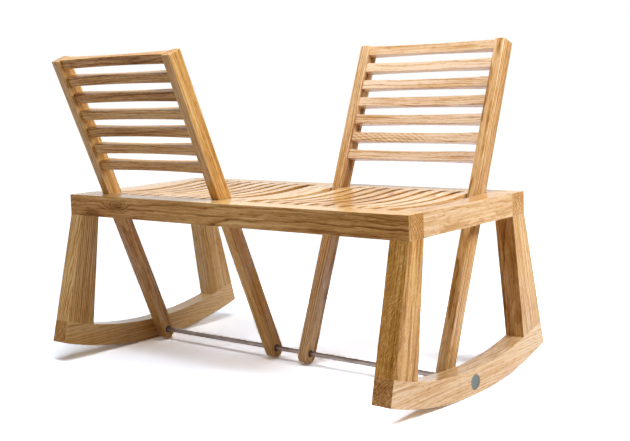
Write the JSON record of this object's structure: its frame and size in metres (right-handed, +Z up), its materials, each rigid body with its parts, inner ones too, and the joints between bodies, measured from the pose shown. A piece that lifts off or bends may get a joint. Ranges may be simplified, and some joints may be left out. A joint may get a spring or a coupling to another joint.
{
  "type": "rocking bench",
  "caption": "Oak rocking bench: slatted seats side by side on curved runners, each with a slatted back that swings over on a low steel rod to face either way.",
  "frame": {"origin": "on the floor, under the middle of the bench", "axes": "+X along the bench to its right-hand end, +Y to the rear, +Z up"},
  "size_m": [1.098, 0.6434, 0.7935],
  "materials": {
    "frame_oak": "oiled oak, fine matt sheen",
    "seat_oak": "oiled oak, fine matt sheen",
    "back_oak": "oiled oak, fine matt sheen",
    "rod_steel": "drawn, dull",
    "bush_plastic": "plain black",
    "cover_metal": "dark green-grey, satin"
  },
  "bodies": {
    "frame": {"centre_plank": "seat_oak", "front_left_leg": "frame_oak", "front_right_leg": "frame_oak", "front_seat_rail": "frame_oak", "left_end_rail": "frame_oak", "left_rocker": "frame_oak", "left_rod_cover": "cover_metal", "left_rod_nut": "rod_steel", "left_rod_washer": "rod_steel", "left_seat_slat_1": "seat_oak", "left_seat_slat_2": "seat_oak", "left_seat_slat_3": "seat_oak", "left_seat_slat_4": "seat_oak", "left_seat_slat_5": "seat_oak", "left_seat_slat_6": "seat_oak", "left_seat_slat_7": "seat_oak", "left_seat_slat_8": "seat_oak", "left_seat_slat_9": "seat_oak", "pivot_rod": "rod_steel", "rear_left_leg": "frame_oak", "rear_right_leg": "frame_oak", "rear_seat_rail": "frame_oak", "right_end_rail": "frame_oak", "right_rocker": "frame_oak", "right_rod_cover": "cover_metal", "right_rod_nut": "rod_steel", "right_rod_washer": "rod_steel", "right_seat_slat_1": "seat_oak", "right_seat_slat_2": "seat_oak", "right_seat_slat_3": "seat_oak", "right_seat_slat_4": "seat_oak", "right_seat_slat_5": "seat_oak", "right_seat_slat_6": "seat_oak", "right_seat_slat_7": "seat_oak", "right_seat_slat_8": "seat_oak", "right_seat_slat_9": "seat_oak"},
    "left_back": {"left_back_inner_bush": "bush_plastic", "left_back_inner_upright": "back_oak", "left_back_outer_bush": "bush_plastic", "left_back_outer_upright": "back_oak", "left_back_slat_1": "back_oak", "left_back_slat_2": "back_oak", "left_back_slat_3": "back_oak", "left_back_slat_4": "back_oak", "left_back_slat_5": "back_oak", "left_back_slat_6": "back_oak", "left_back_slat_7": "back_oak"},
    "right_back": {"right_back_inner_bush": "bush_plastic", "right_back_inner_upright": "back_oak", "right_back_outer_bush": "bush_plastic", "right_back_outer_upright": "back_oak", "right_back_slat_1": "back_oak", "right_back_slat_2": "back_oak", "right_back_slat_3": "back_oak", "right_back_slat_4": "back_oak", "right_back_slat_5": "back_oak", "right_back_slat_6": "back_oak", "right_back_slat_7": "back_oak"}
  },
  "joints": [
    {"name": "left_back_swing", "type": "hinge", "parent": "frame", "child": "left_back", "pos_m": [0, 0, 0.0285], "axis": [1, 0, 0], "range_deg": [-43.6, 0]},
    {"name": "right_back_swing", "type": "hinge", "parent": "frame", "child": "right_back", "pos_m": [0, 0, 0.0285], "axis": [1, 0, 0], "range_deg": [0, 43.6]}
  ]
}
